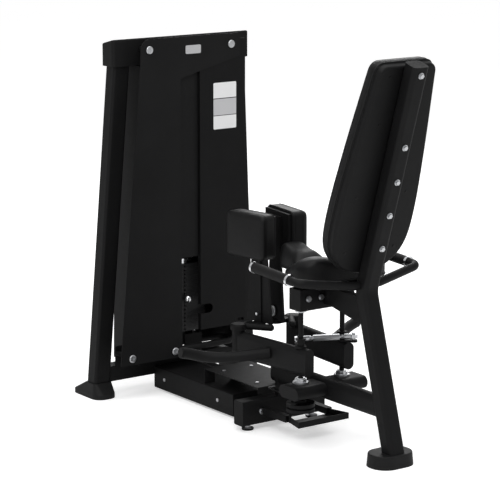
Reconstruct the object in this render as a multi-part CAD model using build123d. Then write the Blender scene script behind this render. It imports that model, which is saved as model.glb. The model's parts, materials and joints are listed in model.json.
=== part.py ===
from build123d import *
import os
from math import atan2, cos, degrees, radians, sin

# Hip abductor machine. Millimetres, +Z up, floor at Z = 0, +Y is the way the seated user faces,
# +X is the user's right. Names ending in _y are measured from the working centre line of the
# drawing; CENTRE_SHIFT moves the whole model so that the origin is the middle of its length.
CENTRE_SHIFT = 6.9
WALL = 3.0                    # wall of every steel tube
SHEET = 2.0                   # thickness of every sheet cover
RUN = 0.05                    # radial clearance of a running fit
FIT = 0.3                     # assembly gap of a loose fit

# --- tower -------------------------------------------------------------------------------------
POST_X = 70.0                 # side post section
POST_Y = 60.0
POST_ROUND = 10.0
POST_FOOT = (-343.6, 665.9)   # left post centre on the floor
POST_LEAN = (0.0643, -0.0346) # how far the post centre moves in X and Y per millimetre of height
POST_BOTTOM = 6.0
POST_TOP = 1338.0
CAP_TOP = 1366.0
CAP_SLOPE = 14.0              # degrees that the cap's top falls towards the back
CAP_BOTTOM = 1264.0
CAP_FRONT_Y = 584.0
CAP_BACK_Y = 664.0
CAP_HALF = 308.0
HUMP_HALF = 212.0             # deeper middle of the cap, over the pulley
HUMP_BACK_Y = 738.0
PLATE_FRONT_Y = 526.0
PLATE_T = 3.0
HOOP_R = 12.0
PLATE_LOW = 140.0
PLATE_HIGH = 1366.0
PLATE_SPLIT_X = -47.0         # the plate's right edge beside the weight window
PLATE_RIGHT_X = 226.0
PLATE_BOLTS = ((-185.0, 1325.0), (185.0, 1325.0), (-274.0, 165.0), (-79.0, 165.0))
BEAM_Y = (634.0, 694.0)       # base cross beam
BEAM_Z = (58.0, 116.0)
BAR_Y = (600.0, 656.0)        # top crossbar
BAR_Z = (1290.0, 1342.0)

# --- weight stack ------------------------------------------------------------------------------
STACK_Y = 632.0
STACK_BOTTOM = 223.0
PLATE_PITCH = 15.5
WEIGHT_T = 15.1
WEIGHT_X = 200.0
WEIGHT_Y = 110.0
PLATES_BELOW = 8
PLATES_ABOVE = 9
HEAD_T = 20.0
GUIDE_X = 75.0
GUIDE_R = 10.0
SELECTOR_R = 11.0
PIN_R = 4.0

# --- cable and pulleys -------------------------------------------------------------------------
CAM_R = 45.0
CAM_Z = (118.0, 148.0)
CABLE_R = 2.5
GROOVE_R = 3.7
BASE_PULLEY = (0.0, 655.0, 170.0)
BASE_PULLEY_R = 45.0
TOP_PULLEY = (0.0, 666.0, 1296.0)
TOP_PULLEY_R = 34.0
PULLEY_HALF = 9.0
PULLEY_PIN_R = 6.0

# --- base --------------------------------------------------------------------------------------
CROSS_Y = (-62.0, -7.0)       # rear cross beam
CROSS_Z = (21.0, 112.0)
CROSS_HALF = 186.0
SPINE_HALF = 40.0
SPINE_Z = (18.0, 68.0)
COVER_HALF = 108.0
COVER_Z = (8.0, 92.0)
COVER_Y = (108.0, 630.0)
WALK_Y = (-39.0, 300.0)
WALK_HALF = 102.0
WALK_TOP = 149.0
CENTRAL_Z = (153.0, 232.0)
CENTRAL_HALF = 25.0
OUTRIGGER_Y = -293.0
OUTRIGGER_Z = (172.0, 218.0)
OUTRIGGER_WIDE = 110.0
OUTRIGGER_HALF = 156.0
TRAY_Y = (-296.0, -206.0)     # back and front edges of the tray
TRAY_Z = (58.0, 80.0)
TRAY_BACK = 113.0             # half widths at those edges
TRAY_FRONT = 90.0
FOOT_X = 145.0
FOOT_R = 22.0

# --- rear post and seat ------------------------------------------------------------------------
REAR_HALF = 33.0
REAR_DEPTH = 60.0
KNEE = (-558.0, 585.0)        # back corner of the bent rear post, (Y, Z)
LOWER_SLOPE = 0.285           # Y per Z below the knee
UPPER_SLOPE = -0.311          # Y per Z above the knee
REAR_BOTTOM = 20.0
REAR_TOP = 1384.0
SEAT_Z = (598.0, 686.0)
PAD_T = 46.0
BOARD_T = 24.0
PAD_BOTTOM_Z = 640.0         # low end of the back board
PAD_LENGTH = 775.0
HANDLE_R = 15.0
GRIP_R = 18.0

BOLT_R = 8.5                  # hexagon bolts, across the corners halved
SHANK_R = 4.8
SHANK_LONG = 12.0
BOLT_Z = (526.0, 68.0)        # bolt heights on the seat channel and the cross beam
SEAT_BOLT_X = (-84.0, -29.0, 29.0, 84.0)
BEAM_BOLT_X = 103.0
SCREW_R = 6.5                 # button screws
SCREW_T = 3.0
BACK_SCREW_R = 4.5
UPPER_TILT = degrees(atan2(-UPPER_SLOPE, 1.0))

# --- arms --------------------------------------------------------------------------------------
PIVOT = (-92.0, -279.0)       # left arm pivot
ARM_REACH = 331.0             # pivot to front hub
ARM_SPLAY = 5.36              # degrees that a closed arm points outward
ARM_WIDE = 41.0
ARM_TALL = 98.0
ARM_MID_Z = 298.0
ARM_TAIL = 46.0
SHAFT_R = 9.0
SHAFT_Z = (108.0, 540.0)
HUB_R = 25.0
HUB_BORE_R = 13.0
HUB_Z = (258.0, 352.0)
LINK_R = 45.0                 # tie rod lever length
LINK_ANGLE = 62.5             # lever direction from +X on the closed left arm
LINK_Z = 367.0
SEAT_CHANNEL_Z = (484.0, 560.0)
SEAT_CHANNEL_Y = (-312.0, -248.0)
PEG_R = 20.0
PEG_PATH = ((-122.0, -136.0, 302.0), (-215.0, -72.0, 290.0), (-310.0, -8.0, 290.0), (-396.0, 18.0, 312.0))

# --- thigh pads --------------------------------------------------------------------------------
UPRIGHT_X = -36.0             # middle of the left upright plate
UPRIGHT_Y = 41.0
PAD_YAW = 8.0
PAD_LONG = 195.0
PAD_Z = (617.0, 780.0)
CUSHION_T = 63.0
KNOB_Z = 402.0


def block(x0, x1, y0, y1, z0, z1):
    """A box from its two corners."""
    return Pos((x0 + x1) / 2, (y0 + y1) / 2, (z0 + z1) / 2) * Box(x1 - x0, y1 - y0, z1 - z0)


def rod_x(x0, x1, y, z, radius):
    return Pos((x0 + x1) / 2, y, z) * Rot(0, 90, 0) * Cylinder(radius, x1 - x0)


def rod_y(x, y0, y1, z, radius):
    return Pos(x, (y0 + y1) / 2, z) * Rot(90, 0, 0) * Cylinder(radius, y1 - y0)


def rod_z(x, y, z0, z1, radius):
    return Pos(x, y, (z0 + z1) / 2) * Cylinder(radius, z1 - z0)


def right_of(shape):
    """The mirror image of a left-hand piece."""
    return mirror(shape, about=Plane.YZ)


def both_sides(shape):
    return [shape, right_of(shape)]


def bar_outline(start, start_radius, end, end_radius):
    """A flat bar with round ends, as a face."""
    circles = [Pos(*start) * Circle(start_radius), Pos(*end) * Circle(end_radius)]
    return make_hull([edge for circle in circles for edge in circle.edges()]).face()


def pipe(points, radius, bend, bore=0.0):
    """A round tube along a bent line."""
    path = FilletPolyline(*points, radius=bend)
    start = Plane(origin=path @ 0, z_dir=path % 0)
    tube = sweep(start * Circle(radius), path)
    if bore:
        tube -= sweep(start * Circle(bore), path)
    return tube


def frustum(low, low_centre, high, high_centre, z0, z1, round_low, round_high):
    """A rounded rectangle blended into another one above it."""
    bottom = Pos(low_centre[0], low_centre[1], z0) * RectangleRounded(low[0], low[1], round_low)
    top = Pos(high_centre[0], high_centre[1], z1) * RectangleRounded(high[0], high[1], round_high)
    return loft([bottom, top])


def save(name, *shapes):
    """Write one node, moved so that the origin is the middle of the machine's length."""
    moved = [Pos(0, CENTRE_SHIFT, 0) * solid for shape in shapes for solid in shape.solids()]
    export_step(Compound(children=moved), f"parts/{name}.step")


# --- tower pieces ------------------------------------------------------------------------------
def post_centre(z):
    return POST_FOOT[0] + POST_LEAN[0] * z, POST_FOOT[1] + POST_LEAN[1] * z


def post_solid(grow, z0, z1):
    size = (POST_X + 2 * grow, POST_Y + 2 * grow)
    corner = POST_ROUND + grow
    return frustum(size, post_centre(z0), size, post_centre(z1), z0, z1, corner, corner)


def tower_post():
    overshoot = 1.0
    inner = post_solid(-WALL, POST_BOTTOM - overshoot, POST_TOP + overshoot)
    return post_solid(0, POST_BOTTOM, POST_TOP) - inner


def post_boot():
    """Flared plastic boot: long behind the post, close round it at the top."""
    height = 58.0
    skirt = 16.0
    base = (96.0, 188.0)
    base_centre = (-338.0, 696.0)
    collar = (POST_X + 10, POST_Y + 10)
    foot = Pos(base_centre[0], base_centre[1], 0) * extrude(RectangleRounded(*base, 38.0), skirt)
    flare = frustum(base, base_centre, collar, post_centre(height), skirt, height, 38.0, 14.0)
    return foot + flare - post_solid(FIT, POST_BOTTOM - FIT, height + 1)


def top_cap():
    """Deep cover over both posts and the crossbar, with a deeper middle for the pulley."""
    mid = (CAP_FRONT_Y + CAP_BACK_Y) / 2
    hump_mid = (CAP_FRONT_Y + HUMP_BACK_Y) / 2

    def body(inset, z0, z1):
        wide = Rectangle(2 * (CAP_HALF - inset), CAP_BACK_Y - CAP_FRONT_Y - 2 * inset)
        deep = Rectangle(2 * (HUMP_HALF - inset), HUMP_BACK_Y - CAP_FRONT_Y - 2 * inset)
        plan = Pos(0, mid) * wide + Pos(0, hump_mid) * deep
        plan = fillet(plan.vertices(), 12.0 - inset)
        return Pos(0, 0, z0) * extrude(plan, z1 - z0)

    def under_slope(solid, top):
        """Cut a solid to the plane that falls towards the back from the front top edge."""
        return solid - Pos(0, CAP_FRONT_Y, top) * Rot(-CAP_SLOPE, 0, 0) * block(-400, 400, 0, 300, 0, 100)

    outer = under_slope(body(0, CAP_BOTTOM, CAP_TOP), CAP_TOP)
    outer = fillet(outer.faces().sort_by(Axis.Z)[-1].edges(), 6.0)
    shell = outer - under_slope(body(WALL, CAP_BOTTOM - 1, CAP_TOP), CAP_TOP - WALL)
    for x, z in PLATE_BOLTS[:2]:
        shell -= rod_y(x, CAP_FRONT_Y - 1, CAP_FRONT_Y + WALL + 1, z, 12.0 + FIT)
    return shell


def top_crossbar():
    """Box bar between the posts, with two ears that hold the pulley pin."""
    reach = 228.0
    bar = block(-reach, reach, *BAR_Y, *BAR_Z)
    bar -= block(-reach - 1, reach + 1, BAR_Y[0] + WALL, BAR_Y[1] - WALL, BAR_Z[0] + WALL, BAR_Z[1] - WALL)
    slot = PULLEY_HALF + 4.0
    bar -= block(-slot, slot, BAR_Y[0] + 22, BAR_Y[1] + 1, BAR_Z[0] - 1, BAR_Z[1] + 1)
    for side in (-1, 1):
        ear = block(slot, slot + 5, BAR_Y[1], TOP_PULLEY[1] + 18, TOP_PULLEY[2] - 16, TOP_PULLEY[2] + 16)
        bar += ear if side > 0 else right_of(ear)
    bar -= rod_x(-40, 40, TOP_PULLEY[1], TOP_PULLEY[2], PULLEY_PIN_R)
    post = post_solid(FIT, BAR_Z[0] - 5, BAR_Z[1] + 5)
    for x in (-GUIDE_X, GUIDE_X):
        bar -= rod_z(x, STACK_Y, BAR_Z[0] - 1, BAR_Z[0] + WALL + 1, GUIDE_R)
    for x, z in PLATE_BOLTS[:2]:
        bar -= rod_y(x, BAR_Y[0] - 1, BAR_Y[0] + WALL + 1, z, 5.0)
    return bar - post - right_of(post)


def plate_outline():
    """Front plate seen from the user: slanted left side, step beside the weight window."""
    points = [
        (-326.0, PLATE_LOW), (PLATE_SPLIT_X, PLATE_LOW), (PLATE_SPLIT_X, 1210.0),
        (PLATE_RIGHT_X, 1278.0), (PLATE_RIGHT_X, PLATE_HIGH), (-222.0, PLATE_HIGH),
        (-226.0, 1262.0),
    ]
    face = make_face(Polyline(*points, close=True))
    corners = face.vertices()
    top_left = corners.sort_by_distance((-222.0, PLATE_HIGH))[0]
    face = fillet(top_left, 42.0)
    outer = (points[0], points[1], points[3], points[4])
    small = [face.vertices().sort_by_distance(point)[0] for point in outer]
    return fillet(small, 6.0)


def upright_sheet(face, y, thickness):
    """Stand a face drawn as (X, Z) upright with its front at y."""
    flat = extrude(face, thickness)
    return Pos(0, y + thickness, 0) * Rot(90, 0, 0) * flat


def front_plate():
    plate = upright_sheet(plate_outline(), PLATE_FRONT_Y, PLATE_T)
    for x, z in PLATE_BOLTS:
        plate -= rod_y(x, PLATE_FRONT_Y - 1, PLATE_FRONT_Y + PLATE_T + 1, z, 5.2)
    return plate


def stack_panel_right():
    """Sheet beside the weight window with folded sides and a hand slot to reach the pin."""
    left, right, low, high = 42.0, 252.0, 232.0, 1345.0
    y = PLATE_FRONT_Y + PLATE_T
    panel = block(left, right, y, y + SHEET, low, high)
    panel += block(right - SHEET, right, y, 554.0, low, CAP_BOTTOM - 2)
    panel += block(left, left + SHEET, y, y + 18, low, high - 60)
    slot_r = 18.0
    slot_z = 313.0
    panel -= block(left - 1, 80.0, y - 1, y + 20, slot_z - slot_r, slot_z + slot_r)
    panel -= rod_y(80.0, y - 1, y + 20, slot_z, slot_r)
    panel -= block(206.0, right + 1, y - 1, y + 8, 244.0, 255.0)
    x, z = PLATE_BOLTS[1]
    return panel - rod_y(x, y - 1, y + SHEET + 1, z, 5.2)


def stack_shield():
    """Narrow recessed sheet above the weight window."""
    y = PLATE_FRONT_Y + PLATE_T
    sheet = block(-128.0, 40.0, y + 12, y + 12 + SHEET, 521.0, 1250.0)
    return sheet + block(-128.0, -128.0 + SHEET, y, y + 12, 521.0, 1250.0)


def rear_shield():
    """Back and side covers of the stack in one folded sheet, following the posts' taper."""
    z0, z1 = 124.0, CAP_BOTTOM - 2
    y0, y1 = 556.0, HUMP_BACK_Y - 4

    def wedge(inset, front, back):
        low, high = 226.0 - inset, 206.0 - inset
        profile = make_face(Polyline((-low, z0), (low, z0), (high, z1), (-high, z1), close=True))
        return upright_sheet(profile, front, back - front)

    shell = wedge(0, y0, y1) - wedge(SHEET, y0 - 1, y1 - SHEET)
    inner_z0, inner_z1 = z0 - 1, z1 + 1
    shell -= block(-200.0, 200.0, y0 - 1, y1 - SHEET, inner_z1 - 6, inner_z1)
    return shell - block(-220.0, 220.0, y0 - 1, y1 - SHEET, inner_z0, z0 + 6)


def blank_badge():
    badge = block(-25.0, 44.0, PLATE_FRONT_Y - 2, PLATE_FRONT_Y, 1300.0, 1332.0)
    return fillet(badge.edges().filter_by(Axis.Y), 5.0)


def blank_placard():
    y = PLATE_FRONT_Y + PLATE_T
    return fillet(block(104.0, 209.0, y - 1.2, y, 1004.0, 1181.0).edges().filter_by(Axis.Y), 4.0)


def plate_spacers():
    """Tubes that hold the front plate off the frame."""
    y0 = PLATE_FRONT_Y + PLATE_T
    ends = (BAR_Y[0], BAR_Y[0], BEAM_Y[0], y0 + 5.0)
    spacers = []
    for index, ((x, z), end) in enumerate(zip(PLATE_BOLTS, ends)):
        start = y0 + (SHEET if index == 1 else 0)
        spacers.append(rod_y(x, start, end, z, 10.0) - rod_y(x, start - 1, end + 1, z, 5.2))
    return spacers


def plate_bolts():
    """Flat round cap bolts through the front plate and its spacers."""
    ends = (BAR_Y[0] + WALL, BAR_Y[0] + WALL, BEAM_Y[0] + 6, PLATE_FRONT_Y + 36)
    bolts = []
    for (x, z), end in zip(PLATE_BOLTS, ends):
        head = rod_y(x, PLATE_FRONT_Y - 5, PLATE_FRONT_Y, z, 15.0)
        head = fillet(head.faces().sort_by(Axis.Y)[0].edges(), 4.0)
        socket = rod_y(x, PLATE_FRONT_Y - 6, PLATE_FRONT_Y - 2.5, z, 5.0)
        bolts.append(head - socket + rod_y(x, PLATE_FRONT_Y, end, z, 5.0))
    return bolts


def tower_base_beam():
    """Cross beam under the stack with the lugs that carry the stack, pulley and front plate."""
    beam = block(-306.0, 306.0, *BEAM_Y, *BEAM_Z)
    beam -= block(-307.0, 307.0, BEAM_Y[0] + WALL, BEAM_Y[1] - WALL, BEAM_Z[0] + WALL, BEAM_Z[1] - WALL)
    post = post_solid(FIT, BEAM_Z[0] - 5, BEAM_Z[1] + 5)
    beam -= post + right_of(post)
    top = BEAM_Z[1]
    pedestal = block(GUIDE_X - 20, GUIDE_X + 20, 606.0, 658.0, top, STACK_BOTTOM - 20)
    pedestal += block(14.0, GUIDE_X + 20, 600.0, 606.0, top, STACK_BOTTOM - 20)
    pedestal += block(GUIDE_X - 20, GUIDE_X + 20, 600.0, BEAM_Y[0], top - WALL, top)
    pedestal -= rod_z(GUIDE_X, STACK_Y, STACK_BOTTOM - 34, STACK_BOTTOM, GUIDE_R)
    ear = block(14.0, 20.0, BASE_PULLEY[1] - 15, BASE_PULLEY[1] + 15, top, BASE_PULLEY[2] + 14)
    ear -= rod_x(0.0, 40.0, BASE_PULLEY[1], BASE_PULLEY[2], PULLEY_PIN_R)
    for piece in (pedestal, ear):
        beam += piece
        beam += right_of(piece)
    x, z = PLATE_BOLTS[2]
    beam += block(-280.0, x + 40, BEAM_Y[0], BEAM_Y[0] + 6, top, z + 27)
    return beam - rod_y(x, BEAM_Y[0] - 1, BEAM_Y[0] + 7, z, 5.0)


def guide_rods():
    rod = rod_z(-GUIDE_X, STACK_Y, STACK_BOTTOM - 34, BAR_Z[0] + WALL, GUIDE_R)
    return both_sides(rod)


def weight_plate(z):
    """One plate with its two guide holes, the selector rod hole and the pin hole from the front."""
    half_y = WEIGHT_Y / 2
    plate = block(-WEIGHT_X / 2, WEIGHT_X / 2, STACK_Y - half_y, STACK_Y + half_y, z, z + WEIGHT_T)
    plate = chamfer(plate.edges().filter_by(Axis.Z), 6.0)
    for x in (-GUIDE_X, GUIDE_X):
        plate -= rod_z(x, STACK_Y, z - 1, z + WEIGHT_T + 1, GUIDE_R + 1.5)
    plate -= rod_z(0, STACK_Y, z - 1, z + WEIGHT_T + 1, SELECTOR_R + RUN)
    mid = z + WEIGHT_T / 2
    return plate - rod_y(0, STACK_Y - WEIGHT_Y / 2 - 1, STACK_Y, mid, PIN_R + RUN)


def plate_z(index):
    return STACK_BOTTOM + index * PLATE_PITCH


def lower_weight_plates():
    return [weight_plate(plate_z(index)) for index in range(PLATES_BELOW)]


def upper_weight_plates():
    return [weight_plate(plate_z(index)) for index in range(PLATES_BELOW, PLATES_BELOW + PLATES_ABOVE)]


def pin_z():
    return plate_z(PLATES_BELOW) + WEIGHT_T / 2


def selector_rod():
    """Drilled rod through the stack, fixed under the head plate that the cable lifts."""
    head_z = plate_z(PLATES_BELOW + PLATES_ABOVE)
    head = block(-WEIGHT_X / 2, WEIGHT_X / 2, STACK_Y - 45, STACK_Y + 45, head_z, head_z + HEAD_T)
    head = chamfer(head.edges().filter_by(Axis.Z), 8.0)
    for x in (-GUIDE_X, GUIDE_X):
        head -= rod_z(x, STACK_Y, head_z - 1, head_z + HEAD_T + 1, GUIDE_R + RUN)
    rod = head + rod_z(0, STACK_Y, STACK_BOTTOM + 2, head_z, SELECTOR_R)
    rod += rod_z(0, STACK_Y, head_z + HEAD_T, head_z + HEAD_T + 34, 9.0)
    for index in range(PLATES_BELOW + PLATES_ABOVE):
        mid = plate_z(index) + WEIGHT_T / 2
        rod -= rod_y(0, STACK_Y - 20, STACK_Y + 20, mid, PIN_R + RUN)
    return rod


def stack_cable_z():
    return plate_z(PLATES_BELOW + PLATES_ABOVE) + HEAD_T + 34


def selector_pin():
    """Pin with a thick collar and a round ball knob."""
    front = STACK_Y - WEIGHT_Y / 2
    z = pin_z()
    pin = rod_y(0, front - 4, STACK_Y + 8, z, PIN_R)
    pin += rod_y(0, front - 9, front - 3, z, 7.0)
    knob = Pos(0, front - 20, z) * Sphere(15.0)
    return pin + knob


# --- cable and pulleys -------------------------------------------------------------------------
def pulley(centre, radius):
    """Grooved wheel on an X axis; radius is where the cable's centre line runs."""
    x, y, z = centre
    wheel = rod_x(x - PULLEY_HALF, x + PULLEY_HALF, y, z, radius + 5)
    groove = Pos(x, y, z) * Rot(0, 90, 0) * Torus(radius + 1.0, GROOVE_R)
    wheel -= groove
    ring = rod_x(x - GROOVE_R, x + GROOVE_R, y, z, radius + 6)
    wheel -= ring - rod_x(x - GROOVE_R, x + GROOVE_R, y, z, radius + 1.0)
    for side in (-1, 1):
        recess = rod_x(x + side * PULLEY_HALF - 3, x + side * PULLEY_HALF + 3, y, z, radius - 8)
        recess -= rod_x(x - PULLEY_HALF - 5, x + PULLEY_HALF + 5, y, z, 12.0)
        wheel -= recess
    return wheel - rod_x(x - 20, x + 20, y, z, PULLEY_PIN_R + RUN)


def drive_cable():
    """Fixed runs of the cable: cam to base pulley, then up behind the stack to the top pulley."""
    cam_point = Vector(PIVOT[0] + CAM_R, PIVOT[1], (CAM_Z[0] + CAM_Z[1]) / 2)
    base_point = Vector(0, BASE_PULLEY[1], BASE_PULLEY[2] - BASE_PULLEY_R)
    run = Line(cam_point, base_point)
    low = sweep(Plane(origin=run @ 0, z_dir=run % 0) * Circle(CABLE_R), run)
    rise = rod_z(0, BASE_PULLEY[1] + BASE_PULLEY_R, BASE_PULLEY[2], TOP_PULLEY[2], CABLE_R)
    return [low, rise]


def stack_cable():
    """Hanging run of the cable from the top pulley down to the head plate."""
    return rod_z(0, STACK_Y, stack_cable_z(), TOP_PULLEY[2], CABLE_R)


def drive_cam():
    """Cable drum clamped on the lower end of the left pivot shaft."""
    x, y = PIVOT
    low, high = CAM_Z
    mid = (low + high) / 2
    drum = rod_z(x, y, low, high, CAM_R + 6)
    drum -= Pos(x, y, mid) * Torus(CAM_R + 1.0, GROOVE_R)
    band = rod_z(x, y, mid - GROOVE_R, mid + GROOVE_R, CAM_R + 7)
    drum -= band - rod_z(x, y, mid - GROOVE_R, mid + GROOVE_R, CAM_R + 1.0)
    drum += rod_z(x, y, high, high + 10, 20.0)
    for turn in range(4):
        angle = radians(45 + 90 * turn)
        drum -= rod_z(x + 30 * cos(angle), y + 30 * sin(angle), low - 1, high + 1, 7.0)
    return drum - rod_z(x, y, low - 1, high + 12, SHAFT_R)


# --- base --------------------------------------------------------------------------------------
def spine_beam():
    y0, y1 = CROSS_Y[1], BEAM_Y[0]
    beam = block(-SPINE_HALF, SPINE_HALF, y0, y1, *SPINE_Z)
    inner = block(-SPINE_HALF + WALL, SPINE_HALF - WALL, y0 - 1, y1 + 1, SPINE_Z[0] + WALL, SPINE_Z[1] - WALL)
    return beam - inner


def spine_cover():
    """Folded sheet over the spine, open underneath."""
    y0, y1 = COVER_Y
    outer = block(-COVER_HALF, COVER_HALF, y0, y1, *COVER_Z)
    outer = fillet(outer.edges().filter_by(Axis.Y).sort_by(Axis.Z)[-2:], 5.0)
    inner = block(-COVER_HALF + SHEET, COVER_HALF - SHEET, y0 + SHEET, y1 + 1, COVER_Z[0] - 1, COVER_Z[1] - SHEET)
    mouth = block(-SPINE_HALF - FIT, SPINE_HALF + FIT, y0 - 1, y0 + 3, COVER_Z[0] - 1, SPINE_Z[1] + FIT)
    return outer - inner - mouth


def walk_plate():
    """Raised sheet over the cable with a deep rear flange, open along its sides."""
    y0, y1 = WALK_Y
    plate = block(-WALK_HALF, WALK_HALF, y0, y1, WALK_TOP - SHEET, WALK_TOP)
    plate += block(-WALK_HALF, WALK_HALF, y0, y0 + SHEET, WALK_TOP - 26, WALK_TOP)
    plate += block(-WALK_HALF, WALK_HALF, y1 - SHEET, y1, COVER_Z[1], WALK_TOP)
    plate = fillet(plate.edges().filter_by(Axis.X).group_by(Axis.Z)[-1], 1.5)
    mouth = block(-56.0, 26.0, y0 - 1, y1 + 1, 0, WALK_TOP - SHEET)
    return plate - mouth


def cover_screws():
    """Button screws that hold the two covers."""
    screws = []
    for y in (205.0, 558.0):
        for side in (-1, 1):
            x0 = COVER_HALF if side > 0 else -COVER_HALF - SCREW_T
            screws.append(rod_x(x0, x0 + SCREW_T, y, 50.0, SCREW_R))
    for x in (-62.0, 62.0):
        for y in (20.0, 228.0):
            screws.append(rod_z(x, y, WALK_TOP, WALK_TOP + SCREW_T, SCREW_R))
    return screws


def rear_cross_beam():
    beam = block(-CROSS_HALF, CROSS_HALF, *CROSS_Y, *CROSS_Z)
    beam = fillet(beam.edges().filter_by(Axis.X), 7.0)
    y0, y1 = CROSS_Y[0] + WALL, CROSS_Y[1] - WALL
    z0, z1 = CROSS_Z[0] + WALL, CROSS_Z[1] - WALL
    inner = block(-CROSS_HALF + WALL, CROSS_HALF - WALL, y0, y1, z0, z1)
    beam -= inner
    for x in (-FOOT_X, FOOT_X):
        beam -= rod_z(x, foot_y(), CROSS_Z[0] - 1, CROSS_Z[0] + WALL + 1, 6.0 + RUN)
    for x in (-BEAM_BOLT_X, BEAM_BOLT_X):
        beam -= rod_y(x, CROSS_Y[0] - 1, CROSS_Y[0] + WALL + 1, BOLT_Z[1], SHANK_R + FIT)
    return beam


def foot_y():
    return (CROSS_Y[0] + CROSS_Y[1]) / 2


def levelling_foot():
    """Rubber-soled foot on a threaded stud, left side."""
    y = foot_y()
    pad = rod_z(-FOOT_X, y, 0, 8.0, FOOT_R)
    pad = fillet(pad.edges().sort_by(Axis.Z)[:1], 2.0)
    nut = Pos(-FOOT_X, y, 8.0) * extrude(RegularPolygon(11.0, 6), 7.0)
    return pad + nut + rod_z(-FOOT_X, y, 8.0, 46.0, 6.0)


def central_beam():
    """Raised flat-oval beam from the rear post, stepping down onto the rear cross beam."""
    mid = (CENTRAL_Z[0] + CENTRAL_Z[1]) / 2
    tall = CENTRAL_Z[1] - CENTRAL_Z[0]
    y0, y1 = -640.0, CROSS_Y[1] - 4

    def bar(inset):
        section = Pos(0, mid) * Rot(0, 0, 90) * SlotOverall(tall - 2 * inset, 2 * (CENTRAL_HALF - inset))
        return Pos(0, y1, 0) * Rot(90, 0, 0) * extrude(section, y1 - y0)

    leg = block(-CENTRAL_HALF, CENTRAL_HALF, CROSS_Y[0] + 4, WALK_Y[0] - FIT, CROSS_Z[1], mid)
    beam = bar(0) + leg - bar(WALL)
    beam -= block(-60, 60, WALK_Y[0] - FIT, y1 + 1, 0, WALK_TOP + FIT)
    return beam - outrigger_solid(0) - rear_post_solid(0)


def outrigger_solid(inset):
    mid = (OUTRIGGER_Z[0] + OUTRIGGER_Z[1]) / 2
    section = SlotOverall(OUTRIGGER_WIDE - 2 * inset, OUTRIGGER_Z[1] - OUTRIGGER_Z[0] - 2 * inset)
    body = extrude(section, OUTRIGGER_HALF, both=True)
    return Pos(0, OUTRIGGER_Y, mid) * Rot(0, 0, 90) * Rot(90, 0, 0) * body


def outrigger_tube():
    """Wide flat-oval tube that carries both arm pivots, closed by its end plugs."""
    mid = (OUTRIGGER_Z[0] + OUTRIGGER_Z[1]) / 2
    section = SlotOverall(OUTRIGGER_WIDE - 2 * WALL, OUTRIGGER_Z[1] - OUTRIGGER_Z[0] - 2 * WALL)
    hollow = extrude(section, OUTRIGGER_HALF - 4, both=True)
    tube = outrigger_solid(0) - Pos(0, OUTRIGGER_Y, mid) * Rot(0, 0, 90) * Rot(90, 0, 0) * hollow
    for x in (PIVOT[0], -PIVOT[0]):
        tube -= rod_z(x, PIVOT[1], 100.0, 300.0, 16.0)
    return tube


def pivot_bearings():
    """Flange bearings on the outrigger and in the seat frame, two for each shaft."""
    x, y = PIVOT
    top, seat = OUTRIGGER_Z[1], SEAT_CHANNEL_Z[0]
    lower = rod_z(x, y, OUTRIGGER_Z[0] - 4, top + 20, 16.0)
    lower += rod_z(x, y, top, top + 6, 28.0) + rod_z(x, y, top, top + 16, 21.0)
    upper = rod_z(x, y, seat - 8, seat, 20.0) + rod_z(x, y, seat, seat + 12, 15.0)
    bore = rod_z(x, y, 50.0, 600.0, SHAFT_R + RUN)
    pieces = []
    for bearing in (lower - bore, upper - bore):
        pieces += both_sides(bearing)
    return pieces


def base_tray():
    """Shallow guard tray under the cam on two rails from the cross beam, with a cable guard pin."""
    z0, z1 = TRAY_Z
    back, front = TRAY_Y

    def plan(inset):
        corners = [(-TRAY_BACK + inset, back + inset), (TRAY_BACK - inset, back + inset),
                   (TRAY_FRONT - inset, front), (-TRAY_FRONT + inset, front)]
        return make_face(Polyline(*corners, close=True))

    tray = Pos(0, 0, z0) * extrude(plan(0), z1 - z0)
    tray -= Pos(0, 0, z0 + SHEET) * extrude(plan(SHEET), z1 - z0)
    rail = block(-104.0, -80.0, front - 2, CROSS_Y[0], z0, z1 + 2)
    rail -= block(-101.0, -83.0, front + 1, CROSS_Y[0] + 1, z0 + 3, z1 - 1)
    rail -= block(-BEAM_BOLT_X - 12, -80.0 + 10, CROSS_Y[0] - 10, CROSS_Y[0] + 1, z0 - 1, z1 + 3)
    return tray + rail + right_of(rail) + rod_z(-92.0, -219.0, z0, 150.0, 4.5)


def base_hoop():
    """Bent tube in front of and beside the stack's feet, welded to the two pedestals."""
    z = PLATE_BOLTS[3][1]
    side, front, rear = 210.0, PLATE_FRONT_Y + PLATE_T + 5.0 + HOOP_R, 632.0
    half = [(-GUIDE_X - 20, rear, z), (-side, rear, z), (-side, front, z)]
    other = [(-x, y, z) for x, y, z in reversed(half)]
    hoop = pipe(half + other, HOOP_R, 34.0, HOOP_R - WALL)
    return hoop - rod_y(PLATE_BOLTS[3][0], front - 20, front + 20, z, 5.2)


# --- rear post and seat ------------------------------------------------------------------------
def post_back_y(z):
    slope = UPPER_SLOPE if z > KNEE[1] else LOWER_SLOPE
    return KNEE[0] + slope * (z - KNEE[1])


def post_front_y(z):
    """Front of the upper, leaning part of the rear post."""
    return KNEE[0] + UPPER_SLOPE * (z - KNEE[1]) + REAR_DEPTH / cos(atan2(-UPPER_SLOPE, 1.0))


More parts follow.
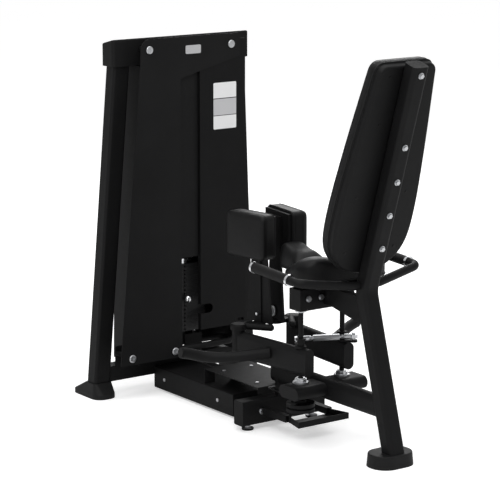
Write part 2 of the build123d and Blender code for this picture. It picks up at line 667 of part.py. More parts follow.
def rear_post_solid(inset):
    """Bent post; inset makes the hollow inside it."""
    overshoot = 1 if inset > 0 else 0
    low, high = REAR_BOTTOM - overshoot, REAR_TOP + overshoot
    below = REAR_DEPTH / 2 / cos(atan2(LOWER_SLOPE, 1.0))
    above = REAR_DEPTH / 2 / cos(atan2(-UPPER_SLOPE, 1.0))
    knee_up = (above - below) / (LOWER_SLOPE - UPPER_SLOPE)
    path = FilletPolyline(
        (0, KNEE[0] + LOWER_SLOPE * (low - KNEE[1]) + below, low),
        (0, KNEE[0] + LOWER_SLOPE * knee_up + below, KNEE[1] + knee_up),
        (0, KNEE[0] + UPPER_SLOPE * (high - KNEE[1]) + above, high),
        radius=90.0)
    section = RectangleRounded(2 * (REAR_HALF - inset), REAR_DEPTH - 2 * inset, 16.0 - inset)
    tilt = degrees(atan2(LOWER_SLOPE, 1.0))
    start = Location(path @ 0, (-tilt, 0, 0))
    return sweep(start * section, path)


def rear_post():
    solid = rear_post_solid(0)
    top = solid.faces().sort_by(Axis.Z)[-1]
    lid = extrude(top, -WALL)
    post = solid - rear_post_solid(WALL) + lid
    post -= rod_x(-40, 40, handle_root()[1], handle_root()[2], HANDLE_R)
    for y, z in post_bolt_points():
        post -= bolt_hole((0, y, z), UPPER_TILT)
    return post


def post_bolt_points():
    """Bolts down the back of the leaning post, as (Y, Z) on its back face."""
    return [(post_back_y(z), z) for z in (1348.0, 1102.0, 981.0, 862.0, 743.0)]


def rear_post_boot():
    """Oval boot, wider than it is deep, with a slight draft and an open top round the post."""
    height, base, round_low = 46.0, (168.0, 126.0), 60.0
    centre = (0.0, -664.0)
    crown = (base[0] - 8, base[1] - 8)
    boot = frustum(base, centre, crown, centre, 0, height, round_low, round_low - 4)
    boot = fillet(boot.faces().sort_by(Axis.Z)[-1].edges(), 4.0)
    return boot - rear_post_solid(-FIT)


def handle_root():
    return 0.0, -524.0, 606.0


def handle_points(side):
    root = handle_root()
    bend = (side * 262.0, -486.0, 634.0)
    return [root, (side * 60.0, root[1], root[2]), bend, (side * 262.0, -236.0, 648.0)]


def handle_bar():
    """One bent tube through the rear post, open at both grip ends."""
    left = [handle_points(-1)[index] for index in (3, 2, 1)]
    right = [handle_points(1)[index] for index in (1, 2, 3)]
    return pipe(left + right, HANDLE_R, 34.0, HANDLE_R - WALL)


def along_grip(start, end, radius, bore):
    """A sleeve on the straight left grip, start and end as distances back from its tip."""
    tip, root = Vector(*handle_points(-1)[3]), Vector(*handle_points(-1)[2])
    back = (root - tip).normalized()
    plane = Plane(origin=tip + back * start, z_dir=back)
    return extrude(plane * Circle(radius), end - start) - extrude(plane * Circle(bore), end - start)


def handle_grips():
    return both_sides(along_grip(6.0, 196.0, GRIP_R, HANDLE_R))


def handle_rings():
    ends = along_grip(-4.0, 6.0, GRIP_R + 3, 0.01) - along_grip(0.0, 7.0, HANDLE_R, 0.01)
    return both_sides(ends) + both_sides(along_grip(196.0, 206.0, GRIP_R + 3, HANDLE_R))


def seat_frame():
    """Cross channel that holds the upper pivot bearings, tied back to the rear post, with the seat deck."""
    y0, y1 = SEAT_CHANNEL_Y
    z0, z1 = SEAT_CHANNEL_Z
    frame = block(-120, 120, y0, y1, z0, z1) - block(-115, 115, y0 + 5, y1 - 5, z0 + 5, z1 + 1)
    frame += block(-16, 16, -520.0, y0 + 5, z0 + 16, z1) - block(-12, 12, -521.0, y0 + 6, z0 + 20, z1 - 4)
    gusset_face = make_face(Polyline((y0, z0 + 16), (-500.0, z0 + 16), (-520.0, z0 - 26), close=True))
    gusset = extrude(Plane.YZ * gusset_face, 5.0, both=True)
    frame += gusset
    for x in (-100.0, 100.0):
        frame += block(x - 4, x + 4, y0 + 8, y1 - 6, z1 - 12, 590.0)
    frame += block(-140.0, 140.0, -446.0, -190.0, 588.0, 594.0)
    frame -= rear_post_solid(0)
    for x in SEAT_BOLT_X:
        frame -= rod_y(x, y0 - 1, y0 + 6, BOLT_Z[0], SHANK_R + FIT)
    for x in (PIVOT[0], -PIVOT[0]):
        frame -= rod_z(x, PIVOT[1], z0 - 1, z0 + 6, 15.0)
        frame -= rod_z(x, PIVOT[1], z0 + 6, z1 + 20, 16.0)
    return frame


def frame_bolts():
    """Hexagon bolts: seat channel, cross beam, rear post's back and the two pulley axles."""
    bolts = []
    for x in SEAT_BOLT_X:
        bolts.append(hex_bolt((x, SEAT_CHANNEL_Y[0], BOLT_Z[0])))
    for x in (-BEAM_BOLT_X, BEAM_BOLT_X):
        bolts.append(hex_bolt((x, CROSS_Y[0], BOLT_Z[1])))
    for y, z in post_bolt_points():
        bolts.append(hex_bolt((0, y, z), UPPER_TILT))
    return bolts + pulley_axles()


def pulley_axles():
    """Shoulder bolts that carry the pulleys, headed on the right."""
    axles = []
    for (x, y, z), reach in ((BASE_PULLEY, 20.0), (TOP_PULLEY, PULLEY_HALF + 9.0)):
        head = extrude(Plane(origin=(reach, y, z), z_dir=(1, 0, 0)) * RegularPolygon(BOLT_R, 6), 5.0)
        axles.append(rod_x(x - reach, x + reach, y, z, PULLEY_PIN_R) + head)
    return axles


def hex_bolt(point, tilt=0.0):
    """Washer, hexagon head and shank; the head looks towards -Y, tilted down by the angle given."""
    washer = Pos(0, 0, 1.0) * Cylinder(BOLT_R + 2.5, 2.0)
    head = Pos(0, 0, 2.0) * extrude(RegularPolygon(BOLT_R, 6), 6.0)
    shank = Pos(0, 0, -SHANK_LONG / 2) * Cylinder(SHANK_R, SHANK_LONG)
    return Pos(*point) * Rot(90 + tilt, 0, 0) * (washer + head + shank)


def bolt_hole(point, tilt=0.0):
    return Pos(*point) * Rot(90 + tilt, 0, 0) * Cylinder(SHANK_R + FIT, 3 * SHANK_LONG)


def seat_outline(inset):
    """Plan of the seat: wide behind, drawn in to a rounded nose in front."""
    wide, nose = 186.0 - inset, 54.0 - inset
    back, front = -432.0 + inset, -78.0 - inset
    side = [(-wide, -362.0), (-wide + 14, -296.0), (-118.0 + inset, -236.0), (-nose - 6, -190.0)]
    left = Spline(*side, (-nose, -140.0), tangents=[(0, 1), (0, 1)])
    tip = Spline((-nose, -140.0), (0, front), (nose, -140.0), tangents=[(0, 1), (0, -1)])
    rear = Spline((-wide, -362.0), (0, back), (wide, -362.0), tangents=[(0, -1.6), (0, 1.6)])
    right = mirror(left, about=Plane.YZ)
    return make_face([*left.edges(), *tip.edges(), *right.edges(), *rear.edges()])


def seat_pad():
    pad = Pos(0, 0, SEAT_Z[0]) * extrude(seat_outline(0), SEAT_Z[1] - SEAT_Z[0])
    return fillet(pad.faces().sort_by(Axis.Z)[-1].edges(), 20.0)


def back_plane():
    """Plane on the post's leaning front: local X is the user's right, local Y runs up the slope."""
    tilt = atan2(-UPPER_SLOPE, 1.0)
    origin = (0, post_front_y(PAD_BOTTOM_Z), PAD_BOTTOM_Z)
    return Plane(origin=origin, x_dir=(-1, 0, 0), z_dir=(0, cos(tilt), sin(tilt)))


def back_outline(inset):
    """Backrest: nearly straight sides, narrower at the top, wide round bottom."""
    top, length = 121.0 - inset, PAD_LENGTH - inset
    half = [(top, length), (144.0 - inset, 560.0), (163.0 - inset, 365.0), (171.0 - inset, 190.0),
            (150.0 - inset, 80.0 + inset / 2), (90.0 - inset / 2, 20.0 + inset)]
    other = [(-x, y) for x, y in reversed(half)]
    rim = Spline(*half, (0, inset), *other)
    face = make_face([rim.edge(), Line((-top, length), (top, length)).edge()])
    corners = face.vertices().group_by(Axis.Y)[-1]
    return fillet(corners, 36.0 - inset)


def back_board():
    """Moulded shell behind the cushion, its rear edge rounded."""
    board = extrude(back_plane() * back_outline(3.0), BOARD_T)
    rear = board.faces().sort_by(Axis((0, 0, 0), back_plane().z_dir))[0]
    return fillet(rear.edges(), 10.0)


def back_pad():
    plane = back_plane().offset(BOARD_T)
    pad = extrude(plane * back_outline(0), PAD_T)
    front = pad.faces().sort_by(Axis((0, 0, 0), plane.z_dir))[-1]
    return fillet(front.edges(), 18.0)


def back_screws():
    """Small screws round the edge of the back board."""
    plane = back_plane()
    screws = []
    for x, up in ((74.0, 735.0), (78.0, 564.0), (107.0, 300.0), (107.0, 93.0)):
        for side in (-1, 1):
            spot = Plane(origin=plane.from_local_coords((side * x, up, 0)), z_dir=-plane.z_dir)
            screws.append(extrude(spot * Circle(BACK_SCREW_R), 1.5))
    return screws


# --- arms --------------------------------------------------------------------------------------
def arm_place():
    """Location of the left arm: drawn along +Y from its pivot, turned outward by the splay."""
    return Pos(PIVOT[0], PIVOT[1], 0) * Rot(0, 0, ARM_SPLAY)


def hub_centre():
    return (PIVOT[0] - ARM_REACH * sin(radians(ARM_SPLAY)), PIVOT[1] + ARM_REACH * cos(radians(ARM_SPLAY)))


def arm_bar(inset, tail, reach):
    section = Pos(0, ARM_MID_Z) * Rot(0, 0, 90) * SlotOverall(ARM_TALL - 2 * inset, ARM_WIDE - 2 * inset)
    return Pos(0, reach, 0) * Rot(90, 0, 0) * extrude(section, reach + tail)


def lever_tip(side):
    """Tie rod joint from the pivot: forward and inward on the left, backward and outward on the right."""
    angle = radians(LINK_ANGLE)
    return side * LINK_R * cos(angle), side * LINK_R * sin(angle)


def arm(side):
    """Welded arm: flat-oval tube, front hub and tie rod lever, as the left arm."""
    body = arm_bar(0, ARM_TAIL, ARM_REACH) - arm_bar(WALL, ARM_TAIL - 4, ARM_REACH)
    body += rod_z(0, ARM_REACH, *HUB_Z, HUB_R)
    body -= rod_z(0, ARM_REACH, HUB_Z[0] - 20, HUB_Z[1] + 1, HUB_BORE_R)
    body = arm_place() * body
    x, y = lever_tip(side)
    tip = (PIVOT[0] + x, PIVOT[1] + y)
    top = ARM_MID_Z + ARM_TALL / 2
    lever = Pos(0, 0, top - 2) * extrude(bar_outline(PIVOT, 20.0, tip, 14.0), 8.0)
    body += lever
    if side > 0:
        body += rod_z(*tip, top + 6, LINK_Z + 12, 5.0)
    body -= rod_z(PIVOT[0], PIVOT[1], 200.0, 400.0, SHAFT_R)
    return body


def foot_peg():
    """Round foot peg welded to the outside of the left arm, curving outward to its plugged end."""
    path = Spline(*PEG_PATH, tangents=[(-0.6, 0.35, -0.05), (-1, 0.1, 0.2)])
    peg = sweep(Plane(origin=path @ 0, z_dir=path % 0) * Circle(PEG_R), path)
    peg = peg - arm_place() * arm_bar(0, ARM_TAIL, ARM_REACH)
    end = Plane(origin=path @ 1, z_dir=path % 1)
    plug = extrude(end * Circle(PEG_R - 1.5), 5.0)
    return peg + fillet(plug.faces().sort_by(Axis.X)[0].edges(), 2.0)


def pivot_shaft(with_cam):
    """Left pivot shaft with the sleeve and collar that sit on the arm."""
    x, y = PIVOT
    top = ARM_MID_Z + ARM_TALL / 2 + 6
    bottom = SHAFT_Z[0] if with_cam else OUTRIGGER_Z[0] - 8
    shaft = rod_z(x, y, bottom, SHAFT_Z[1] - 30, SHAFT_R)
    shaft += rod_z(x, y, top, top + 20, 13.0)
    shaft += rod_z(x, y, top + 20, top + 27, 18.0)
    if with_cam:
        shaft += Pos(x, y, bottom) * extrude(RegularPolygon(15.0, 6), CAM_Z[0] - bottom)
    return shaft


def tie_rod():
    """Turnbuckle between the arm levers: hexagon barrel, threaded ends and ball joint housings."""
    left = Vector(PIVOT[0] + lever_tip(1)[0], PIVOT[1] + lever_tip(1)[1], LINK_Z)
    right = Vector(-PIVOT[0] + lever_tip(1)[0], PIVOT[1] - lever_tip(1)[1], LINK_Z)
    reach = right - left
    line = Plane(origin=left, z_dir=reach.normalized())
    length = reach.length
    rod = extrude(line.offset(14.0) * Circle(6.0), length - 28.0)
    rod += extrude(line.offset(52.0) * RegularPolygon(11.0, 6), length - 104.0)
    for start in (38.0, length - 46.0):
        rod += extrude(line.offset(start) * RegularPolygon(9.0, 6), 8.0)
    for end in (left, right):
        rod += Pos(end.X, end.Y, end.Z) * Cylinder(15.0, 13.0)
        rod += extrude(line.offset(10.0 if end == left else length - 36.0) * Circle(9.0), 26.0)
    rod += rod_z(right.X, right.Y, LINK_Z - 13.5, LINK_Z + 13, 6.0)
    return rod - rod_z(left.X, left.Y, LINK_Z - 20, LINK_Z + 20, 5.0 + RUN)


# --- thigh pads --------------------------------------------------------------------------------
def upright_place():
    """Location of the left upright: drawn facing the user's left, then turned by the pad yaw."""
    return Pos(UPRIGHT_X, UPRIGHT_Y, 0) * Rot(0, 0, PAD_YAW)


def pad_upright():
    """Swivel shaft, bracket with its round-ended bar, and the tapered upright plate."""
    hub_x, hub_y = hub_centre()
    shaft = rod_z(hub_x, hub_y, HUB_Z[0] - 6, HUB_Z[1] + 4, HUB_BORE_R - RUN)
    boss = rod_z(hub_x, hub_y, HUB_Z[1] + 0.5, HUB_Z[1] + 22, 31.0)
    boss = fillet(boss.faces().sort_by(Axis.Z)[-1].edges(), 7.0)
    bracket_face = bar_outline((hub_x, hub_y), 26.0, (UPRIGHT_X, UPRIGHT_Y), 22.0)
    bracket = Pos(0, 0, HUB_Z[1] + 4) * extrude(bracket_face, 14.0)
    bar_end = Vector(UPRIGHT_X - 12, UPRIGHT_Y - 84, HUB_Z[1] + 13)
    bar_start = Vector(hub_x + 18, hub_y - 12, HUB_Z[1] + 13)
    heading = (bar_end - bar_start).normalized()
    bar = extrude(Plane(origin=bar_start, z_dir=heading) * Circle(12.5), (bar_end - bar_start).length)
    bar += Pos(bar_end.X, bar_end.Y, bar_end.Z) * Sphere(12.5)
    low, high = HUB_Z[1] + 18, PAD_Z[1] - 24
    outline = Polyline((-64, low), (64, low), (40, 600.0), (36, high), (-36, high), (-40, 600.0), close=True)
    sheet = extrude(Plane.YZ * make_face(outline), 4.0, both=True)
    strip = Polyline((-16, low), (16, low), (12, 604), (-12, 604), close=True)
    rib = extrude(Plane.YZ * make_face(strip), 9.0)
    plate = upright_place() * (sheet + Rot(0, 0, 180) * rib)
    knob_bore = upright_place() * rod_x(-30, 30, 0, KNOB_Z, 5.0 + RUN)
    return shaft + boss + bracket + bar + plate - knob_bore


def thigh_pad():
    """Backing board and cushion on the outer side of the left upright."""
    z0, z1 = PAD_Z
    half = PAD_LONG / 2
    board = block(-4.0 - 12.0, -4.0, -half + 10, half - 10, z0 + 8, z1 - 8)
    pad = block(-16.0 - CUSHION_T, -16.0, -half, half, z0, z1)
    pad = fillet(pad.edges().filter_by(Axis.X), 20.0)
    pad = fillet(pad.faces().sort_by(Axis.X)[0].edges(), 12.0)
    return upright_place() * board, upright_place() * pad


def pull_knob():
    """Round pull knob on its spring pin, on the inner side of the left upright."""
    pin = rod_x(-18.0, 12.0, 0, KNOB_Z, 5.0)
    neck = rod_x(5.0, 9.0, 0, KNOB_Z, 9.0)
    knob = rod_x(8.0, 18.0, 0, KNOB_Z, 20.0)
    knob = fillet(knob.edges().filter_by(GeomType.CIRCLE), 4.0)
    return upright_place() * (pin + neck + knob)


def main():
    os.makedirs("parts", exist_ok=True)
    post, boot = tower_post(), post_boot()
    save("tower_posts", post, right_of(post))
    save("post_boots", boot, right_of(boot))
    save("tower_base_beam", tower_base_beam())
    save("top_cap", top_cap())
    save("top_crossbar", top_crossbar())
    save("front_plate", front_plate())
    save("stack_panel_right", stack_panel_right())
    save("stack_shield", stack_shield())
    save("rear_shield", rear_shield())
    save("blank_badge", blank_badge())
    save("blank_placard", blank_placard())
    save("plate_spacers", *plate_spacers())
    save("plate_bolts", *plate_bolts())
    save("guide_rods", *guide_rods())
    save("lower_weight_plates", *lower_weight_plates())
    save("upper_weight_plates", *upper_weight_plates())
    save("selector_rod", selector_rod())
    save("stack_cable", stack_cable())
    save("selector_pin", selector_pin())
    save("base_pulley", pulley(BASE_PULLEY, BASE_PULLEY_R))
    save("top_pulley", pulley(TOP_PULLEY, TOP_PULLEY_R))
    save("drive_cable", *drive_cable())
    save("drive_cam", drive_cam())
    save("spine_beam", spine_beam())
    save("spine_cover", spine_cover())
    save("walk_plate", walk_plate())
    save("rear_cross_beam", rear_cross_beam())
    foot = levelling_foot()
    save("levelling_foot_left", foot)
    save("levelling_foot_right", right_of(foot))
    save("central_beam", central_beam())
    save("outrigger_tube", outrigger_tube())
    save("pivot_bearings", *pivot_bearings())
    save("base_tray", base_tray())
    save("base_hoop", base_hoop())
    save("rear_post", rear_post())
    save("rear_post_boot", rear_post_boot())
    save("seat_frame", seat_frame())
    save("frame_bolts", *frame_bolts())
    save("seat_pad", seat_pad())
    save("back_board", back_board())
    save("back_pad", back_pad())
    save("button_screws", *cover_screws(), *back_screws())
    save("handle_bar", handle_bar())
    save("handle_grips", *handle_grips())
    save("handle_rings", *handle_rings())
    save("tie_rod", tie_rod())
    board, pad = thigh_pad()
    peg, upright, knob = foot_peg(), pad_upright(), pull_knob()
    save("arm_left", arm(1))
    save("arm_right", right_of(arm(-1)))
    save("pivot_shaft_left", pivot_shaft(True))
    save("pivot_shaft_right", right_of(pivot_shaft(False)))
    for side, place in (("left", lambda shape: shape), ("right", right_of)):
        save(f"foot_peg_{side}", place(peg))
        save(f"pad_upright_{side}", place(upright))
        save(f"thigh_board_{side}", place(board))
        save(f"thigh_pad_{side}", place(pad))
        save(f"pull_knob_{side}", place(knob))


main()
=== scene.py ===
import json
import math

import bmesh
import bpy
import numpy as np
from mathutils import Matrix, Vector


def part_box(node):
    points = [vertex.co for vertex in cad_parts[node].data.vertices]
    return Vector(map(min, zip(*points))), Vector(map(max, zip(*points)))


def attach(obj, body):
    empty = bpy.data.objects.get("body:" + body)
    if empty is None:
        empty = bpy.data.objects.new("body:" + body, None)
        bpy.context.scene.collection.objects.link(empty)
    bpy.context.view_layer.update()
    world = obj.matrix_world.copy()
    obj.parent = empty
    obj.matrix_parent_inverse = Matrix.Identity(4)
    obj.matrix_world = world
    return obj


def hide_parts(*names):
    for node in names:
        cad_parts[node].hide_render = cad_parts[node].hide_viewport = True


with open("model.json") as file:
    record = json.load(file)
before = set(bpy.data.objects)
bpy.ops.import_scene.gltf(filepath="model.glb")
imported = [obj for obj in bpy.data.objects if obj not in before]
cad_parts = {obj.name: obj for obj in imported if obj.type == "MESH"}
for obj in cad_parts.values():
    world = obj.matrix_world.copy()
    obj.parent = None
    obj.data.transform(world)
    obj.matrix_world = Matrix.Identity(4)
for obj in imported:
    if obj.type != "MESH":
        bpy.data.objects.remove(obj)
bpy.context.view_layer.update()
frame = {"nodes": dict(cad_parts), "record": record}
NODES = frame["nodes"]

# --- sizes, in metres and radians --------------------------------------------------------------
# Pads: voxel size of the mesh, height of the crown, rounds of softening, and how deep the edge
# is that stays with the board or pan.
SEAT_PAD = {"voxel": 0.005, "travel": 0.003, "rounds": 8}
BACK_PAD = {"voxel": 0.006, "travel": 0.009, "rounds": 4}
THIGH_PAD = {"voxel": 0.004, "travel": 0.006, "rounds": 2}
SEAT_FIRM = (0.002, 0.02)
BACK_FIRM = (0.001, 0.02)
THIGH_FIRM = (0.001, 0.012)
SIDE_BULGE = 0.15             # share of the crown by which a pad's free sides swell
BACK_LEAN = math.atan(0.311)  # backrest from upright
THIGH_YAW = math.radians(8)   # thigh pads from straight ahead

# Piping and seams: distance from the pad's firm side, cord radius, spacing of the cord's points.
SEAT_PIPING = (0.008, 0.0028)
BACK_PIPING_REAR = (0.006, 0.0028)
BACK_PIPING_FRONT = (0.04, 0.0022)
THIGH_PIPING = (0.0045, 0.0021)
THIGH_SEAM = (0.0435, 0.0012)
LONG_SPACING = 0.008
THIGH_SPACING = 0.006

# Seat top: heights over the floor, half widths, and places along the seat as shares of its
# length from the back.
WING_TOP = 0.694
WING_FALL, WING_FALL_SPAN = 0.060, (0.12, 0.56)
DISH_DEPTH, DISH_SPAN = 0.014, (0.03, 0.12)
EDGE_DROP, EDGE_SPAN = 0.016, (0.135, 0.19)
NOSE_TOP = 0.684
NOSE_FRONT_DROP, NOSE_FRONT_SPAN = 0.020, (0.92, 0.72)
NOSE_REAR_DROP, NOSE_REAR_SPAN = 0.012, (0.72, 0.55)
NOSE_HALF, NOSE_BLEND, NOSE_SPAN = 0.085, 0.05, (0.45, 0.7)

CABLE_R = 0.0025
BASE_WRAP = (-96, 2)          # degrees of each pulley that the cable lies on, from +Y
TOP_WRAP = (-2, 182)

SCREW_SPLIT = (0.3, 0.5)      # heights between which the screws change from zinc to black
NUT_SPLIT = (0.0079, 0.0081)  # rubber foot below, nut above

# --- light and camera --------------------------------------------------------------------------
FLOOR_HALF = 80.0
FLOOR_GLOW = 0.42             # lifts the far floor to white, for the camera only
SKY_POWER = 0.72
SKY_LOW, SKY_TOP_AT = (0.55, 0.55, 0.56), 0.9
LAMPS = (                     # name, place, target, size, power
    ("key", (-3.5, -3.0, 4.5), (0, 0, 0.6), (3.0, 2.0), 105.0),
    ("back", (3.5, 4.5, 3.2), (0, -0.3, 0.7), (3.5, 2.0), 85.0),
    ("top", (0.0, 0.0, 4.5), (0, 0, 0), (4.0, 4.0), 75.0),
)
CAMERA_PLACE = (-4.598, -6.1711, 2.219)
CAMERA_TURN = math.radians(36.0)   # to the right of straight ahead
CAMERA_DROP = math.radians(11.6)   # below the horizon
CAMERA_LENS, CAMERA_SENSOR = 156.96, 36.0


# --- materials ---------------------------------------------------------------------------------
class Surface:
    """A principled material whose colour, roughness and relief come from object-space textures."""

    def __init__(self, name):
        self.material = bpy.data.materials.new(name)
        self.material.use_nodes = True
        self.tree = self.material.node_tree
        self.tree.nodes.clear()
        self.shader = self.node("ShaderNodeBsdfPrincipled")
        output = self.node("ShaderNodeOutputMaterial")
        self.link(self.shader.outputs[0], output.inputs[0])
        self.place = self.node("ShaderNodeTexCoord").outputs["Object"]

    def node(self, kind, **settings):
        made = self.tree.nodes.new(kind)
        for key, value in settings.items():
            setattr(made, key, value)
        return made

    def link(self, source, target):
        self.tree.links.new(source, target)

    def set(self, **values):
        for key, value in values.items():
            self.shader.inputs[key.replace("_", " ")].default_value = value

    def stretched(self, scale):
        """Object coordinates stretched along each axis."""
        mapping = self.node("ShaderNodeMapping")
        mapping.inputs["Scale"].default_value = scale
        self.link(self.place, mapping.inputs["Vector"])
        return mapping.outputs["Vector"]

    def height(self):
        """Object coordinate along Z."""
        split = self.node("ShaderNodeSeparateXYZ")
        self.link(self.place, split.inputs[0])
        return split.outputs["Z"]

    def noise(self, scale, detail=3.0, where=None, rough=0.5):
        texture = self.node("ShaderNodeTexNoise")
        texture.inputs["Scale"].default_value = scale
        texture.inputs["Detail"].default_value = detail
        texture.inputs["Roughness"].default_value = rough
        self.link(where or self.place, texture.inputs["Vector"])
        return texture.outputs["Fac"]

    def cells(self, scale, feature="DISTANCE_TO_EDGE"):
        texture = self.node("ShaderNodeTexVoronoi", feature=feature)
        texture.inputs["Scale"].default_value = scale
        self.link(self.place, texture.inputs["Vector"])
        return texture.outputs["Distance"]

    def waves(self, scale, direction, distortion):
        texture = self.node("ShaderNodeTexWave", bands_direction=direction)
        texture.inputs["Scale"].default_value = scale
        texture.inputs["Distortion"].default_value = distortion
        self.link(self.place, texture.inputs["Vector"])
        return texture.outputs["Fac"]

    def span(self, value, low, high, start=0.0, end=1.0):
        """Map start..end of a texture onto low..high."""
        scaled = self.node("ShaderNodeMapRange")
        limits = {"From Min": start, "From Max": end, "To Min": low, "To Max": high}
        for key, number in limits.items():
            scaled.inputs[key].default_value = number
        self.link(value, scaled.inputs["Value"])
        return scaled.outputs["Result"]

    def mix(self, factor, first, second):
        """Blend two colours by a texture, set as the base colour."""
        blend = self.node("ShaderNodeMix", data_type="RGBA")
        self.link(factor, blend.inputs["Factor"])
        for socket, colour in ((blend.inputs[6], first), (blend.inputs[7], second)):
            if hasattr(colour, "links"):
                self.link(colour, socket)
            else:
                socket.default_value = (*colour, 1.0)
        self.link(blend.outputs[2], self.shader.inputs["Base Color"])

    def rough(self, value, low, high):
        self.link(self.span(value, low, high), self.shader.inputs["Roughness"])

    def relief(self, *layers):
        """Stack bumps: each layer is (texture, height in metres, strength)."""
        normal = None
        for height, depth, strength in layers:
            bump = self.node("ShaderNodeBump")
            bump.inputs["Distance"].default_value = depth
            bump.inputs["Strength"].default_value = strength
            self.link(height, bump.inputs["Height"])
            if normal:
                self.link(normal, bump.inputs["Normal"])
            normal = bump.outputs["Normal"]
        self.link(normal, self.shader.inputs["Normal"])


def shade(colour, factor):
    return tuple(channel * factor for channel in colour)


def near_black(level):
    """A black with a trace of blue."""
    return (level, level, level + 0.0002)


def powder_coat(name, colour, low, high, grain, strength):
    """Baked powder coat: fine orange peel, faint mottling and a little uneven sheen."""
    s = Surface(name)
    cloud = s.noise(7.0, 4.0)
    s.mix(s.span(cloud, 0.0, 1.0, 0.3, 0.7), colour, shade(colour, 1.35))
    s.rough(s.noise(40.0, 5.0), low, high)
    peel, mottle = s.noise(grain, 2.0), s.noise(grain / 6, 3.0)
    s.relief((peel, 0.0004, strength), (mottle, 0.0006, strength / 2))
    s.set(Specular_IOR_Level=0.16)
    return s.material


def grained_vinyl(name, colour):
    """Upholstery vinyl: pebbled grain with soft wrinkles; painted shade darkens the grooves and a
    painted highlight lightens the pebble tops.
    """
    s = Surface(name)
    pebble_grain_and_shade = s.cells(430.0)
    fold, sag = s.noise(55.0, 5.0, rough=0.6), s.noise(14.0, 3.0)
    # Painted shade in the grooves between pebbles and a painted highlight on the pebble tops,
    # following the grain's height.
    s.mix(s.span(pebble_grain_and_shade, 0.0, 1.0, 0.0, 0.35), shade(colour, 0.6), shade(colour, 1.25))
    s.rough(s.noise(90.0, 4.0), 0.36, 0.5)
    grain = s.span(pebble_grain_and_shade, 0.0, 1.0, 0.0, 0.3)
    s.relief((grain, 0.00035, 0.5), (fold, 0.0022, 0.16), (sag, 0.006, 0.12))
    s.set(Specular_IOR_Level=0.2)
    return s.material


def moulded(name, colour, low, high, grain, strength, level=0.16):
    """Moulded plastic or rubber: spark-eroded texture and faint flow marks."""
    s = Surface(name)
    s.mix(s.noise(11.0, 5.0), shade(colour, 0.8), shade(colour, 1.3))
    s.rough(s.noise(60.0, 4.0), low, high)
    pits, flow = s.cells(grain, "F1"), s.noise(26.0, 4.0)
    s.relief((pits, 0.0003, strength), (flow, 0.001, strength / 3))
    s.set(Specular_IOR_Level=level)
    return s.material


def bright_metal(name, dark, light, low, high, streaks, strength):
    """Plated or polished metal with fine streaks along one axis."""
    s = Surface(name)
    streak = s.noise(1.0, 3.0, where=s.stretched(streaks))
    s.mix(streak, dark, light)
    s.rough(s.noise(120.0, 4.0), low, high)
    s.relief((streak, 0.0002, strength))
    s.set(Metallic=1.0)
    return s.material


def weight_iron(name):
    """Painted cast plates: rough skin with rubbed, slightly brighter high spots."""
    s = Surface(name)
    skin = s.noise(170.0, 6.0, rough=0.65)
    s.mix(s.span(skin, 0.0, 1.0, 0.35, 0.75), (0.004, 0.004, 0.0042), (0.02, 0.02, 0.021))
    s.rough(s.noise(50.0, 5.0), 0.42, 0.62)
    s.relief((skin, 0.0008, 0.35), (s.noise(600.0, 2.0), 0.0003, 0.2))
    s.set(Specular_IOR_Level=0.35)
    return s.material


def coated_cable(name):
    """Wire rope showing through a thin black coat."""
    s = Surface(name)
    twist = s.waves(190.0, "DIAGONAL", 0.6)
    s.mix(twist, (0.006, 0.006, 0.006), (0.022, 0.022, 0.023))
    s.rough(s.noise(200.0, 3.0), 0.28, 0.4)
    s.relief((twist, 0.0006, 0.4))
    return s.material


def brushed_badge(name):
    """Satin metal brushed along X."""
    s = Surface(name)
    line = s.noise(1.0, 4.0, where=s.stretched((4.0, 900.0, 900.0)))
    s.mix(line, (0.5, 0.5, 0.51), (0.78, 0.78, 0.79))
    s.rough(line, 0.28, 0.45)
    s.relief((line, 0.0002, 0.15))
    s.set(Metallic=0.85)
    return s.material


def placard_print(name, low, high):
    """Blank placard: pale panels parted by dark gaps, the middle one a shade greyer."""
    s = Surface(name)
    ramp = s.node("ShaderNodeValToRGB")
    ramp.color_ramp.interpolation = "CONSTANT"
    white, grey, dark = (0.86, 0.86, 0.86, 1), (0.55, 0.55, 0.56, 1), (0.02, 0.02, 0.02, 1)
    bands = ((0.0, white), (0.285, dark), (0.3, grey), (0.645, dark), (0.665, white))
    stops = ramp.color_ramp.elements
    while len(stops) < len(bands):
        stops.new(0.5)
    for stop, (start, colour) in zip(stops, bands):
        stop.position = start
        stop.color = colour
    s.link(s.span(s.height(), 0.0, 1.0, low, high), ramp.inputs["Fac"])
    print_grain = s.noise(900.0, 2.0)
    s.mix(s.span(print_grain, 0.0, 0.08), ramp.outputs["Color"], (0.4, 0.4, 0.4))
    s.rough(s.noise(70.0), 0.3, 0.42)
    s.relief((print_grain, 0.0001, 0.1))
    return s.material


def split_finish(name, low, high, above, below):
    """One finish above a height and another below it; the paler one is metal."""
    s = Surface(name)
    share = s.span(s.height(), 0.0, 1.0, low, high)
    s.mix(share, below, above)
    metal_below, metal_above = (0.0, 1.0) if above[0] > below[0] else (1.0, 0.0)
    s.link(s.span(share, metal_below, metal_above), s.shader.inputs["Metallic"])
    s.rough(s.noise(150.0, 3.0), 0.32, 0.46)
    s.relief((s.noise(700.0, 2.0), 0.0002, 0.2))
    s.set(Specular_IOR_Level=0.2)
    return s.material


def pale_floor(name):
    """White floor that also glows a little where the camera sees it."""
    s = Surface(name)
    s.mix(s.noise(0.6, 3.0), (0.9, 0.9, 0.9), (0.93, 0.93, 0.93))
    s.rough(s.noise(4.0), 0.75, 0.85)
    s.set(Specular_IOR_Level=0.1, Emission_Color=(1, 1, 1, 1))
    seen = s.node("ShaderNodeLightPath").outputs["Is Camera Ray"]
    s.link(s.span(seen, 0.0, FLOOR_GLOW), s.shader.inputs["Emission Strength"])
    return s.material


